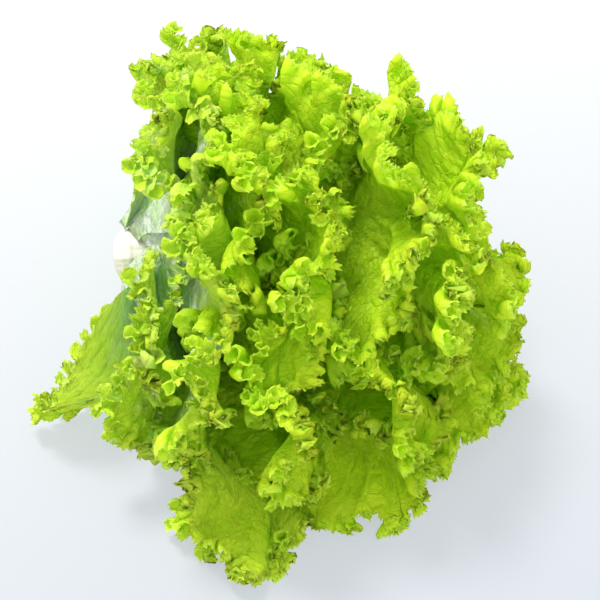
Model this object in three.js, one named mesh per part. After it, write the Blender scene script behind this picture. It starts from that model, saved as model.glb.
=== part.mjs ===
// Curly leaf lettuce: one whole head lying on its side, built leaf by leaf.
//
// Units are millimetres, +Z is up, and the head rests on the plane z = 0.
// Every leaf springs from a short stem and lies on its own shell around the
// stem axis.  A shell is a cone whose opening angle grows along the leaf, so
// shells of different openness never meet and the leaves nest like a rosette.
// Below the stem the shells are pressed against the surface by one smooth
// flattening, which keeps their order.
import * as THREE from 'three';

const DEG = Math.PI / 180;
const HEART_HEIGHT = 62;              // how far the leaves may sink below the stem
const SETTLED = 7.2;                  // the whole head sinks this far onto its leaves
const HEADING = -6 * DEG;             // stem axis, turned a little to the front
const TILT = 14 * DEG;                // stem axis, raised above level
const BASE_RADIUS = 16.5;             // where every leaf stalk starts
const WIDEST_STALK = 9;               // half width of the widest stalk
const STALK_SHARE = 0.52;             // stalk half width against its ring round the stem
const BLADE = 1.3;                    // blade thickness
const RIB = 2.3;                      // extra thickness of the midrib at the stem
const MOST_TURN = 2.2;                // how far a leaf may wrap each way, in radians
const MOST_RUFFLE = 7;                // height of the largest ruffle

const axis = new THREE.Vector3(
  Math.cos(TILT) * Math.cos(HEADING), Math.cos(TILT) * Math.sin(HEADING), Math.sin(TILT));
const upward = new THREE.Vector3(0, 0, 1).addScaledVector(axis, -axis.z).normalize();
const away = new THREE.Vector3().crossVectors(upward, axis);

// One row per leaf, outermost first:
//   openness 1 = fully open, 0 = closed on the axis
//   azimuth  degrees round the axis: 0 up, 90 away, 180 down, 270 to the front
//   length and half width of the leaf in millimetres
//   back     extra degrees the blade bends back beyond its shell
const LEAVES = [
  ['outer_leaf_01', 1.07,  60,  60, 35,  0],
  ['outer_leaf_02', 1.06, 236,  82, 51, 36],
  ['outer_leaf_03', 1.02, 116, 126, 61,  0],
  ['outer_leaf_04', 1.00, 264,  98, 57,  0],
  ['outer_leaf_05', 0.928, 279, 94, 35,  0],
  ['outer_leaf_06', 0.91,  27, 102, 51,  0],
  ['outer_leaf_07', 0.96, 174, 154, 57,  0],
  ['outer_leaf_08', 0.882, 235, 150, 49,  0],
  ['outer_leaf_09', 0.86,  69, 126, 63,  0],
  ['outer_leaf_10', 0.84, 292, 130, 61,  0],
  ['outer_leaf_11', 0.80,   8, 114, 57,  0],
  ['outer_leaf_12', 0.775, 112, 124, 63,  0],
  ['middle_leaf_01', 0.75, 211, 160, 55,  0],
  ['middle_leaf_02', 0.72, 338, 128, 59,  0],
  ['middle_leaf_03', 0.675,  42, 122, 61,  0],
  ['middle_leaf_04', 0.65, 262, 150, 61,  0],
  ['middle_leaf_05', 0.62, 154, 164, 61,  0],
  ['middle_leaf_06', 0.58, 304, 140, 59,  0],
  ['middle_leaf_07', 0.55,  86, 128, 59,  0],
  ['middle_leaf_08', 0.51, 198, 174, 59,  0],
  ['middle_leaf_09', 0.47,   2, 132, 55,  0],
  ['middle_leaf_10', 0.43, 244, 164, 55,  0],
  ['heart_leaf_01', 0.395, 128, 164, 55,  0],
  ['heart_leaf_02', 0.357, 324, 154, 53,  0],
  ['heart_leaf_03', 0.306,  50, 144, 51,  0],
  ['heart_leaf_04', 0.277, 206, 170, 46,  0],
  ['heart_leaf_05', 0.235, 288, 162, 43,  0],
  ['heart_leaf_06', 0.19, 100, 150, 43,  0],
  ['heart_leaf_07', 0.14, 345, 164, 35,  0],
  ['heart_leaf_08', 0.085, 225, 164, 35,  0],
].map(([name, open, azimuth, length, half, back]) => ({ name, open, azimuth, length, half, back }));

const clamp = (x, a, b) => Math.min(b, Math.max(a, x));
const ease = (x) => { const t = clamp(x, 0, 1); return t * t * (3 - 2 * t); };
const bump = (azimuth, centre, width) => {
  const d = ((azimuth - centre + 180) % 360 + 360) % 360 - 180;
  return Math.exp(-((d / width) ** 2));
};

// Opening of the head in degrees.  It is narrower in front, where the outer
// leaves fold over the stalks, below, where they are pressed, and on top.
const OPEN_HEAD = 78;
const FOLDS = [                       // centre and width round the axis, and degrees less
  [322, 42, 24],
  [180, 55, 18],
  [25, 45, 9],
];
const FOLDED_BY = 70;                 // distance along a leaf where the fold is complete
const widest = (azimuth, s) => {
  const folded = FOLDS.reduce((sum, [centre, width, less]) => sum + less * bump(azimuth, centre, width), 0);
  return OPEN_HEAD - folded * ease(s / FOLDED_BY);
};

// Share of the opening reached at distance s: the shells widen along the leaf.
const FLARE_BASE = 0.66;
const FLARE_LENGTH = 95;
const flare = (s) => FLARE_BASE + (1 - FLARE_BASE) * ease(s / FLARE_LENGTH);

// Attachment height along the stem axis: the older leaves sit lower.
const HEART_RISE = 18;
const RISE_STEP = 34;
const rise = (open) => HEART_RISE - RISE_STEP * open;

// Shape of the surface: long open leaves sag, and the parts below the heart
// are flattened onto z = 0, pushed outwards by what they lose in depth.
const SAG = 0.0016;
const SAG_FROM = 0.5;
const SAG_OVER = 0.45;
const PRESS_LEAST = 0.32;
const PRESS_MORE = 0.74;
const PUSH_OUT = 0.8;
const PUSH_RADIUS = 12;
function settle(p, open) {
  const rho = Math.hypot(p.x, p.y);
  const z = p.z - SAG * ease((open - SAG_FROM) / SAG_OVER) * rho * rho;
  const reach = HEART_HEIGHT * (PRESS_LEAST + PRESS_MORE * Math.min(open, 1));
  const depth = Math.max(-z, 0);
  const pressed = reach * Math.tanh(depth / reach);
  const out = 1 + PUSH_OUT * (depth - pressed) / Math.max(rho, PUSH_RADIUS);
  return new THREE.Vector3(p.x * out, p.y * out, (z < 0 ? -pressed : z) + HEART_HEIGHT - SETTLED);
}

const BEND_FROM = 15;                 // a leaf that bends back does so between these distances
const BEND_OVER = 75;
function opening(leaf, azimuth, s) {
  return leaf.open * widest(azimuth, s) * DEG * flare(s) + leaf.back * DEG * ease((s - BEND_FROM) / BEND_OVER);
}

// Radius of the ring round the axis on which the leaf stands at distance s.
const LEAST_OPEN = 0.1;
const ringRadius = (leaf, s) =>
  Math.max(1e-6, s * Math.sin(Math.max(leaf.open, LEAST_OPEN) * widest(leaf.azimuth, s) * DEG * flare(s)));

// A point of the leaf from its distance s along the leaf and q across it.
function place(leaf, s, q, sway) {
  const azimuth = leaf.azimuth + clamp(q / ringRadius(leaf, s), -MOST_TURN, MOST_TURN) / DEG;
  const w = opening(leaf, azimuth, s) + sway;
  const a = azimuth * DEG;
  const p = new THREE.Vector3()
    .addScaledVector(axis, rise(leaf.open) + s * Math.cos(w))
    .addScaledVector(upward, s * Math.sin(w) * Math.cos(a))
    .addScaledVector(away, s * Math.sin(w) * Math.sin(a));
  return settle(p, leaf.open);
}

// Half outline of the flat leaf: t = 0 at the stalk, 1 at the tip.  The blade
// widens up to its shoulder and ends in half an ellipse.
const SHOULDER_T = 0.55;
const SHOULDER = 0.66;                // share of the leaf's length below the shoulder
const WIDENING = 0.8;
function stalkHalf(leaf) {
  const ring = BASE_RADIUS * Math.sin(opening({ ...leaf, back: 0 }, leaf.azimuth, BASE_RADIUS));
  return Math.min(WIDEST_STALK, STALK_SHARE * ring);
}
function outline(leaf, t) {
  const run = leaf.length - BASE_RADIUS;
  const base = stalkHalf(leaf);
  if (t < SHOULDER_T) {
    const up = t / SHOULDER_T;
    return [base + (leaf.half - base) * ease(up) ** WIDENING, BASE_RADIUS + up * SHOULDER * run];
  }
  const a = (t - SHOULDER_T) / (1 - SHOULDER_T) * Math.PI / 2;
  return [leaf.half * Math.cos(a), BASE_RADIUS + (SHOULDER + (1 - SHOULDER) * Math.sin(a)) * run];
}
// Where the side vein that ends at outline(t) leaves the midrib.
const VEIN_SHARE = 0.8;
const veinStart = (leaf, t) => BASE_RADIUS + VEIN_SHARE * t ** 1.05 * (leaf.length - BASE_RADIUS);

// Free angle between a leaf and its nearest neighbours, for the ruffles.
const SHORTER_BY = 8;                 // a leaf this much shorter is no neighbour
const SIDE_GAP = 6;                   // degrees kept beside a neighbour
const MOST_FREE = 40;                 // degrees
function freeAngle(leaf, t, side) {
  const [x, s] = outline(leaf, t);
  const turn = (half, l) => half / ringRadius(l, s);
  const here = leaf.azimuth + side * Math.min(turn(x, leaf), MOST_TURN) / DEG;
  let gap = MOST_FREE;
  for (const other of LEAVES) {
    if (other === leaf || other.length < s - SHORTER_BY) continue;
    const d = Math.abs(((here - other.azimuth + 180) % 360 + 360) % 360 - 180);
    if (d > turn(other.half, other) / DEG + SIDE_GAP) continue;
    gap = Math.min(gap, Math.abs(other.open - leaf.open) * widest(here, s));
  }
  return gap * DEG;
}

const RINGS = [0, 0.13, 0.48, 0.8, 1];     // from the midrib out to the margin
const COLS = [6, 6, 6, 12, 12];            // steps from stalk to tip on each ring
const RUFFLE_SHARE = 0.2;                  // ruffle height against the free angle
const HEART_SHARE = 0.15;                  // the same in the crowded heart
const HEART_OPEN = 0.3;
const INNER_WAVE = [0.55, 0, -0.55, 0];    // half as many, lower ruffles inside the margin

function leafGeometry(leaf) {
  const mid = [];                       // middle surface
  const half = [];                      // half thickness
  const rows = [[], []];
  const add = (side, r, c) => {
    const m = RINGS[r];
    const t = c / COLS[r];
    const [x, s] = outline(leaf, t);
    const along = veinStart(leaf, t) * (1 - m) + s * m;
    let sway = 0;
    if (r >= 3) {
      const free = freeAngle(leaf, t, side);
      const share = leaf.open < HEART_OPEN ? HEART_SHARE : RUFFLE_SHARE;
      const size = Math.min(share * free, MOST_RUFFLE / s) * ease(t / 0.22);
      const wave = r === 4 ? (c % 2 ? -1 : 1) : INNER_WAVE[(c + (side > 0 ? 0 : 2)) % 4];
      sway = size * wave;
    }
    mid.push(place(leaf, along, side * x * m, sway));
    const stalk = 1 - ease(t / 0.75);
    half.push(0.5 * (BLADE + RIB * (0.3 + 0.7 * leaf.open) * stalk * clamp(1 - m / 0.9, 0, 1) ** 1.5));
    return mid.length - 1;
  };
  for (let r = 0; r < RINGS.length; r++) {
    for (const k of [0, 1]) rows[k][r] = [];
    for (let c = 0; c <= COLS[r]; c++) {
      rows[0][r][c] = add(-1, r, c);
      rows[1][r][c] = r === 0 || c === COLS[r] ? rows[0][r][c] : add(1, r, c);
    }
  }
  const faces = [];
  for (const k of [0, 1]) {
    const put = (a, b, c) => faces.push(k ? [a, b, c] : [a, c, b]);
    for (let r = 0; r + 1 < RINGS.length; r++) {
      const lo = rows[k][r];
      const hi = rows[k][r + 1];
      for (let c = 0; c < COLS[r]; c++) {
        if (COLS[r + 1] === COLS[r]) {
          put(lo[c], hi[c], hi[c + 1]);
          put(lo[c], hi[c + 1], lo[c + 1]);
        } else {
          put(lo[c], hi[2 * c], hi[2 * c + 1]);
          put(lo[c], hi[2 * c + 1], lo[c + 1]);
          put(lo[c + 1], hi[2 * c + 1], hi[2 * c + 2]);
        }
      }
    }
  }
  // Vertex normals of the middle surface, then both faces and the edge band.
  const normal = mid.map(() => new THREE.Vector3());
  const ab = new THREE.Vector3();
  const ac = new THREE.Vector3();
  for (const [a, b, c] of faces) {
    ab.subVectors(mid[b], mid[a]);
    ac.subVectors(mid[c], mid[a]);
    ab.cross(ac);
    normal[a].add(ab); normal[b].add(ab); normal[c].add(ab);
  }
  const n = mid.length;
  const position = new Float32Array(n * 6);
  mid.forEach((p, i) => {
    const v = normal[i].normalize();
    const a = p.clone().addScaledVector(v, half[i]);
    const b = p.clone().addScaledVector(v, -half[i]);
    // Where the leaf is pressed on the surface its underside is flat.
    const [low, high] = a.z < b.z ? [a, b] : [b, a];
    if (low.z < 0) low.z = 0;
    high.z = Math.max(high.z, BLADE * 0.9);
    position.set(a.toArray(), i * 3);
    position.set(b.toArray(), (n + i) * 3);
  });
  const index = [];
  const once = new Map();
  for (const [a, b, c] of faces) {
    index.push(a, b, c, n + a, n + c, n + b);
    for (const [u, v] of [[a, b], [b, c], [c, a]]) {
      if (once.has(`${v},${u}`)) once.delete(`${v},${u}`);
      else once.set(`${u},${v}`, [u, v]);
    }
  }
  for (const [u, v] of once.values()) index.push(u, n + v, v, u, n + u, n + v);
  const g = new THREE.BufferGeometry();
  g.setAttribute('position', new THREE.BufferAttribute(position, 3));
  g.setIndex(index);
  g.computeVertexNormals();
  return g;
}

// Short conical stem with a clean cut butt: profile as (radius, along the axis).
function stemGeometry() {
  const profile = [
    [0, -14.5], [12.3, -14.5], [13.5, -13.5], [13.4, -11.5], [12.2, -8.5],
    [10.6, -2], [8.2, 6], [5.5, 16], [2.4, 26], [0, 29.5],
  ].map(([x, y]) => new THREE.Vector2(x, y));
  const g = new THREE.LatheGeometry(profile, 28);
  g.deleteAttribute('uv');
  const turn = new THREE.Matrix4().makeBasis(upward, axis, away);
  g.applyMatrix4(turn);
  g.translate(0, 0, HEART_HEIGHT - SETTLED);
  return g;
}

const green = (r, g, b) => new THREE.MeshStandardMaterial({
  color: new THREE.Color().setRGB(r, g, b, THREE.SRGBColorSpace), roughness: 0.55, metalness: 0 });
const OUTER = green(0.60, 0.79, 0.13);
const MIDDLE = green(0.67, 0.83, 0.18);
const HEART = green(0.76, 0.88, 0.30);
const STEM = green(0.94, 0.92, 0.86);

const head = new THREE.Group();
head.name = 'curly_leaf_lettuce';
const pieces = [['stem', stemGeometry(), STEM]];
for (const leaf of LEAVES) {
  const material = leaf.name.startsWith('outer') ? OUTER : leaf.name.startsWith('middle') ? MIDDLE : HEART;
  pieces.push([leaf.name, leafGeometry(leaf), material]);
}

// The origin is under the middle of the head's box, on the surface.
const box = new THREE.Box3();
for (const [, g] of pieces) { g.computeBoundingBox(); box.union(g.boundingBox); }
const middle = box.getCenter(new THREE.Vector3());
for (const [name, g, material] of pieces) {
  g.translate(-middle.x, -middle.y, 0);
  const mesh = new THREE.Mesh(g, material);
  mesh.name = name;
  head.add(mesh);
}

export default head;
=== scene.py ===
# %% [markdown]
# # A head of curly leaf lettuce
#
# This lesson grows one lettuce head, leaf by leaf. A frame of plain solids says where each leaf lies, and
# here every leaf is grown again as a thin mesh with a curled margin. It then rides on the frame's one body.

# %% Load the frame
import math

import bpy
import numpy as np
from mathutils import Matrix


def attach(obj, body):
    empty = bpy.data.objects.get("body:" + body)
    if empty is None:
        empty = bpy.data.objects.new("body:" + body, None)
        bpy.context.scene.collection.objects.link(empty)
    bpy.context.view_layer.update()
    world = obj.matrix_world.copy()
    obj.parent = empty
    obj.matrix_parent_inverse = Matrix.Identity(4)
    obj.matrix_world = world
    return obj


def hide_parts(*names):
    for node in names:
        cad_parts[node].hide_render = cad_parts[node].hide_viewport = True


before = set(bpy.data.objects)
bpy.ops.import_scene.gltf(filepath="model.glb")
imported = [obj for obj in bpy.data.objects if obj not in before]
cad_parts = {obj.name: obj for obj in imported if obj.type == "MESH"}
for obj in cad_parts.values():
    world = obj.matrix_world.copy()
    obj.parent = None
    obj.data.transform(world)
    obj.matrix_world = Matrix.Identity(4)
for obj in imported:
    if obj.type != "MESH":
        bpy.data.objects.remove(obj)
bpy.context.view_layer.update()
BODY = "root"
MM = 0.001
print("frame:", len(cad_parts), "nodes")

# %% [markdown]
# ## The rosette
#
# A lettuce leaf springs from a short stem and opens away from the stem's axis. Each leaf can be drawn as a
# patch on a cone round that axis. Wider cones hold older leaves, so no leaf passes through another. The
# head lies on its side, so the axis is nearly level, and the lower cones are pressed flat by the table.

# %% The stem's axis, in millimetres and degrees
HEART_HEIGHT = 62.0
SETTLED = 7.2
HEADING = math.radians(-6)
TILT = math.radians(14)
BASE_RADIUS = 16.5

AXIS = np.array([math.cos(TILT) * math.cos(HEADING), math.cos(TILT) * math.sin(HEADING), math.sin(TILT)])
UPWARD = np.array([0.0, 0.0, 1.0]) - AXIS[2] * AXIS
UPWARD /= np.linalg.norm(UPWARD)
AWAY = np.cross(UPWARD, AXIS)

# The stem's cone ends in a point on the axis, which ties the rosette to the frame.
STEM_TOP = 29.5
stem_points = np.array([corner.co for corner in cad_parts["stem"].data.vertices]) / MM
STEM_TIP = stem_points[np.argmax(stem_points @ AXIS)]
HEART = STEM_TIP - STEM_TOP * AXIS
print("heart at", HEART.round(1), "mm")

# %% The list of leaves, in millimetres and degrees
# name, openness, azimuth, length, half width, extra bend backwards
LEAVES = [
    ("outer_leaf_01", 1.07, 60, 60, 35, 0),
    ("outer_leaf_02", 1.06, 236, 82, 51, 36),
    ("outer_leaf_03", 1.02, 116, 126, 61, 0),
    ("outer_leaf_04", 1.00, 264, 98, 57, 0),
    ("outer_leaf_05", 0.928, 279, 94, 35, 0),
    ("outer_leaf_06", 0.91, 27, 102, 51, 0),
    ("outer_leaf_07", 0.96, 174, 154, 57, 0),
    ("outer_leaf_08", 0.882, 235, 150, 49, 0),
    ("outer_leaf_09", 0.86, 69, 126, 63, 0),
    ("outer_leaf_10", 0.84, 292, 130, 61, 0),
    ("outer_leaf_11", 0.80, 8, 114, 57, 0),
    ("outer_leaf_12", 0.775, 112, 124, 63, 0),
    ("middle_leaf_01", 0.75, 211, 160, 55, 0),
    ("middle_leaf_02", 0.72, 338, 128, 59, 0),
    ("middle_leaf_03", 0.675, 42, 122, 61, 0),
    ("middle_leaf_04", 0.65, 262, 150, 61, 0),
    ("middle_leaf_05", 0.62, 154, 164, 61, 0),
    ("middle_leaf_06", 0.58, 304, 140, 59, 0),
    ("middle_leaf_07", 0.55, 86, 128, 59, 0),
    ("middle_leaf_08", 0.51, 198, 174, 59, 0),
    ("middle_leaf_09", 0.47, 2, 132, 55, 0),
    ("middle_leaf_10", 0.43, 244, 164, 55, 0),
    ("heart_leaf_01", 0.395, 128, 164, 55, 0),
    ("heart_leaf_02", 0.357, 324, 154, 53, 0),
    ("heart_leaf_03", 0.306, 50, 144, 51, 0),
    ("heart_leaf_04", 0.277, 206, 170, 46, 0),
    ("heart_leaf_05", 0.235, 288, 162, 43, 0),
    ("heart_leaf_06", 0.19, 100, 150, 43, 0),
    ("heart_leaf_07", 0.14, 345, 164, 35, 0),
    ("heart_leaf_08", 0.085, 225, 164, 35, 0),
]
# The curls stand out past the flat leaf that they grow from, so that leaf is a little smaller.
CURLS_OUT = 3.0
LEAVES = [(name, openness, azimuth, length - CURLS_OUT, half - 0.5 * CURLS_OUT, back)
          for name, openness, azimuth, length, half, back in LEAVES]
print("leaves:", len(LEAVES))

# %% How far the cones open


def ease(x):
    """A smooth step from 0 to 1."""
    t = np.clip(x, 0.0, 1.0)
    return t * t * (3.0 - 2.0 * t)


def bump(azimuth, centre, width):
    """1 at the centre azimuth, and less the further round the axis from it."""
    d = (azimuth - centre + 180.0) % 360.0 - 180.0
    return np.exp(-((d / width) ** 2))


# How far the widest cone opens, in degrees. Folds make the head narrower in places: centre and width of
# each round the axis, and degrees less. They are at their deepest this far up the leaves.
WIDEST = 78.0
FOLDS = [(322.0, 42.0, 24.0), (180.0, 55.0, 18.0), (25.0, 45.0, 9.0)]
FOLDS_FULL = 70.0


def widest(azimuth, s):
    """The widest opening of the head in degrees, round the axis."""
    folded = sum(less * bump(azimuth, centre, width) for centre, width, less in FOLDS)
    return WIDEST - folded * ease(s / FOLDS_FULL)


# A leaf leaves the stem more upright than its cone, at this share of the cone's angle. It opens by the
# rest of the angle, and has opened fully this far up.
UPRIGHT = 0.66
OPENS = 0.34
FLARE_FULL = 95.0


def flare(s):
    """Share of its cone's angle that a leaf has opened to, at s along it."""
    return UPRIGHT + OPENS * ease(s / FLARE_FULL)


print("widest cone above and below:", [round(float(widest(turn, FOLDS_FULL))) for turn in (0.0, 180.0)])

# %% [markdown]
# ### Pressed by the table
#
# A head that lies on its side presses its lower leaves flat, and they spread outwards. A cloth simulation
# could do that too, but it is slow and hard to steer. Here the depth below the heart is squeezed by a
# hyperbolic tangent, whose limit no leaf can pass, and what is squeezed goes out sideways.

# %% Settling on the table
# An old leaf droops under its weight: by this much for each square millimetre of its distance from the
# heart, starting at one openness and full that much later.
DROOP = 0.0016
DROOP_FROM = 0.5
DROOP_OVER = 0.45
# How far below the heart a leaf may hang, as a share of the heart's height: the first for any leaf, and the
# second more for the oldest.
HANG = 0.32
HANG_OLD = 0.74
# This share of what the table presses up goes out sideways. It is spread over a leaf's distance from the
# heart, which counts as no less than this many millimetres.
PRESSED_OUT = 0.8
NEAR_HEART = 12.0


def settle(p, openness):
    """Press what hangs below the heart against the table."""
    rho = np.hypot(p[..., 0], p[..., 1])
    z = p[..., 2] - DROOP * ease((openness - DROOP_FROM) / DROOP_OVER) * rho * rho
    reach = HEART_HEIGHT * (HANG + HANG_OLD * min(openness, 1.0))
    depth = np.maximum(-z, 0.0)
    pressed = reach * np.tanh(depth / reach)
    out = 1.0 + PRESSED_OUT * (depth - pressed) / np.maximum(rho, NEAR_HEART)
    z = np.where(z < 0.0, -pressed, z) + HEART_HEIGHT - SETTLED
    return np.stack([HEART[0] + p[..., 0] * out, HEART[1] + p[..., 1] * out, z], axis=-1)


# %% From the flat leaf to the head


def ring_radius(leaf, s):
    """Distance from the axis, at s along a leaf."""
    _, openness, azimuth, _, _, _ = leaf
    return s * np.sin(np.radians(max(openness, 0.1) * widest(azimuth, s)) * flare(s))


# The youngest leaf springs this far up the axis, and the oldest this much lower.
YOUNG_RISE = 18.0
RISE_RANGE = 34.0
# Extra bending back starts here along the leaf, and is full this much further on.
BACK_FROM = 15.0
BACK_OVER = 75.0
# No leaf reaches further round the axis than this, in radians to each side.
MOST_TURN = 2.2


def place(leaf, s, q, sway):
    """The point s along a leaf and q across it, opened by sway more radians."""
    _, openness, azimuth, _, _, back = leaf
    turn = np.clip(q / np.maximum(ring_radius(leaf, s), 1e-6), -MOST_TURN, MOST_TURN)
    around = azimuth + np.degrees(turn)
    w = np.radians(openness * widest(around, s)) * flare(s)
    w = w + math.radians(back) * ease((s - BACK_FROM) / BACK_OVER) + sway
    a = np.radians(around)
    rise = YOUNG_RISE - RISE_RANGE * openness
    p = (rise + s * np.cos(w))[..., None] * AXIS
    p = p + (s * np.sin(w) * np.cos(a))[..., None] * UPWARD
    p = p + (s * np.sin(w) * np.sin(a))[..., None] * AWAY
    return settle(p, openness)


tip_height = place(LEAVES[-1], np.array([LEAVES[-1][3]]), np.zeros(1), 0.0)[0, 2]
print("tip of the youngest leaf:", round(tip_height, 1), "mm above the table")

# %% [markdown]
# ### One flat leaf
#
# Spread out flat, a leaf has a narrow stalk, a broad shoulder and a round tip. Each leaf could have a curve
# of its own, but they differ little except in length and width, so one formula draws them all. A side vein
# joins each point of this outline to the midrib.

# %% The flat outline
# Half the widest stalk, and how much of the way round the stem a stalk may take.
STALK_HALF = 12.0
STALK_TURN = 0.7


def stalk_half(leaf):
    """Half the width of a leaf where it leaves the stem."""
    w = math.radians(leaf[1] * WIDEST) * float(flare(BASE_RADIUS))
    return min(STALK_HALF, STALK_TURN * BASE_RADIUS * math.sin(w))


# The shoulder is where a leaf is widest: its share of the outline, and of the way up the leaf. The round
# tip is the rest of both.
SHOULDER = 0.55
SHOULDER_UP = 0.66
TIP = 0.45
TIP_UP = 0.34


def outline(leaf, t):
    """Half outline of the flat leaf, from the stalk (t = 0) to the tip (t = 1)."""
    _, _, _, length, half, _ = leaf
    run = length - BASE_RADIUS
    base = stalk_half(leaf)
    a = (np.clip(t, SHOULDER, 1.0) - SHOULDER) / TIP * math.pi / 2
    side = t < SHOULDER
    y = np.where(side, t / SHOULDER * SHOULDER_UP, SHOULDER_UP + TIP_UP * np.sin(a))
    x = np.where(side, base + (half - base) * ease(y / SHOULDER_UP) ** 0.8, half * np.cos(a))
    return x, BASE_RADIUS + y * run


# The midrib fades out at this share of the leaf.
MIDRIB_END = 0.8


def vein_start(leaf, t):
    """Where on the midrib the side vein leaves that runs to the outline at t."""
    return BASE_RADIUS + MIDRIB_END * t ** 1.05 * (leaf[3] - BASE_RADIUS)


# %% [markdown]
# ## Ruffles
#
# The margin of this leaf grows much faster than its middle, so it has to buckle. It buckles into large
# waves, the large waves carry smaller ones, and those carry curls, each set reaching less far into the
# blade. The same thing is done here: every set of waves is pushed out along the normals of the surface that
# the last set left. A push along the margin makes each wave overhang, as a meandering river does.

# %% The surface that the waves are pushed out of


def surface_frame(p):
    """Unit normal and unit tangent along the margin, for a grid of points."""
    down = np.gradient(p, axis=0)
    along = np.gradient(p, axis=1)
    normal = np.cross(down, along)
    normal /= np.maximum(np.linalg.norm(normal, axis=-1, keepdims=True), 1e-9)
    along /= np.maximum(np.linalg.norm(along, axis=-1, keepdims=True), 1e-9)
    return normal, along


def true_length(p):
    """Distance along the margin to each column, in millimetres, as the leaf now lies."""
    steps = np.linalg.norm(np.diff(p[-1], axis=0), axis=1)
    return np.concatenate([[0.0], np.cumsum(steps)])


# %% One set of waves
# No margin is long enough for more half waves than this.
KNOTS = 1200
# How uneven the waves are, as shares: in length, in height and in reach, and how far a crest wanders.
UNEVEN_LENGTH = 0.42
UNEVEN_HEIGHT = 0.32
UNEVEN_REACH = 0.4
WANDER = 0.22


def uneven(rng, share, count):
    """Numbers round 1, each at most this share more or less."""
    return 1.0 + share * (2.0 * rng.random(count) - 1.0)


def any_phase(rng):
    """Anywhere in the turn of a wave, in radians."""
    return rng.random() * 6.28


def waves(p, inside, strength, wave, height, depth, overhang, rng):
    """Buckle a leaf grid: wave is measured along the margin, inside is the distance from it."""
    u = true_length(p)
    steps = 0.5 * wave * uneven(rng, UNEVEN_LENGTH, KNOTS)
    knots = np.concatenate([[0.0], np.cumsum(steps)])
    number = np.arange(KNOTS + 1)
    size = uneven(rng, UNEVEN_HEIGHT, KNOTS + 1)
    reach = depth * uneven(rng, UNEVEN_REACH, KNOTS + 1)
    wander = WANDER * wave * np.sin(inside / depth * 2.4 + u[None, :] / wave + any_phase(rng))
    half_waves = np.interp(u[None, :] + wander, knots, number)
    size_here = np.interp(half_waves - 0.5, number, size)
    reach_here = np.interp(half_waves - 0.5, number, reach)
    lift = height * size_here * ease(1.0 - inside / reach_here) * strength
    normal, along = surface_frame(p)
    phase = half_waves * math.pi
    out = p + (lift * np.sin(phase))[..., None] * normal
    return out - (overhang * lift * np.sin(2.0 * phase))[..., None] * along


# %% [markdown]
# ## Teeth
#
# The margin ends in small pointed teeth, one where each fine vein runs out, with a hollow bite between two
# teeth. They could be drawn by a transparent texture, but real points also catch the light and break up the
# outline. So the last three rings of points are pulled inwards between the tips.

# %% Teeth along the margin
# Distance between teeth and how deep a bite is, in millimetres.
TOOTH_STEP = 2.9
TOOTH_MM = 2.6
# As shares: how uneven the distances are, how far a tip stands out, the shallowest bite, and how much
# deeper the deepest one is.
UNEVEN_STEP = 0.4
TIP_OUT = 0.35
SHALLOWEST = 0.55
DEEPER = 0.45
# How much of the pull each ring takes, from the margin inwards.
PULLED = [(-1, 1.0), (-2, 0.55), (-3, 0.15)]


def teeth(p, strength, rng):
    """Cut the margin into uneven pointed teeth, in the plane of the blade."""
    inward = p[-3] - p[-1]
    inward /= np.maximum(np.linalg.norm(inward, axis=-1, keepdims=True), 1e-9)
    far = true_length(p)
    count = int(far[-1] / ((1.0 - UNEVEN_STEP) * TOOTH_STEP)) + 2
    steps = TOOTH_STEP * uneven(rng, UNEVEN_STEP, count)
    tips = np.concatenate([[0.0], np.cumsum(steps)])
    depth = SHALLOWEST + DEEPER * rng.random(count + 1)
    number = np.interp(far, tips, np.arange(count + 1))
    bite = depth[number.astype(int)] * np.abs(np.sin(math.pi * number)) ** 0.8 - TIP_OUT
    pull = TOOTH_MM * bite * strength[-1]
    out = p.copy()
    for ring, share in PULLED:
        out[ring] += share * inward * pull[:, None]
    return out


# %% [markdown]
# ## A leaf as a mesh
#
# The grid has rings from the midrib out to the margin and columns from the stalk round the tip and back.
# Near the margin the curls are small, so every few rings the columns double, up to sixteen times as many. A
# subdivision surface would add as many points everywhere, and most of them where the blade is smooth.

# %% The grid of one leaf
# Distance of each ring from the margin in a wide leaf, and how many columns apart its points are.
MARGIN_RINGS = [(0.0, 1), (1.1, 1), (2.6, 2), (4.6, 2), (7.2, 4), (10.4, 4), (14.5, 4), (19.5, 8),
                (26.0, 8), (33.0, 8), (42.0, 16), (51.0, 16), (60.0, 16)]
COARSEST = max(stride for _, stride in MARGIN_RINGS)
WIDE = MARGIN_RINGS[-1][0]

# Notches between the lobes of the outline: one every so many millimetres, and its share of the blade.
# There are none on the foot of the leaf, up to here.
LOBES = [(47.0, 0.09), (26.0, 0.12), (15.0, 0.05)]
LOBES_FROM = 40.0


def leaf_grid(leaf, t, rng):
    """The grid's points on the flat leaf, for columns at t, which runs from 0 to 1 and back.

    Returns u along the outline, m (0 at the midrib, 1 at the margin), how far along and across the leaf and
    how far inside the margin each point is, and s, how far up the leaf the outline is."""
    half = len(t) // 2
    side = np.concatenate([-np.ones(half), [0.0], np.ones(half)])
    x, s = outline(leaf, t)
    start = vein_start(leaf, t)
    u = np.concatenate([[0.0], np.cumsum(np.hypot(np.diff(side * x), np.diff(s)))])
    reach = np.hypot(x, s - start)
    share = np.array([distance / WIDE for distance, _ in MARGIN_RINGS])[::-1, None]
    m = 1.0 - share / (share + (1.0 - share) * np.maximum(reach, 1.0) / WIDE)
    lobe = np.zeros_like(u)
    for wave, size in LOBES:
        lobe -= size * (0.5 + 0.5 * np.sin(u * 2.0 * math.pi / wave + any_phase(rng))) ** 1.6
    lobe = lobe * ease((s - LOBES_FROM) / LOBES_FROM) * ease(m)
    along = start * (1.0 - m) + s * m + lobe * (s - start)
    across = side * x * m * (1.0 + lobe)
    inside = (1.0 - m) * reach
    return u, m, along, across, inside, s


print("rings:", len(MARGIN_RINGS), "from margin to midrib")

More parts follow.
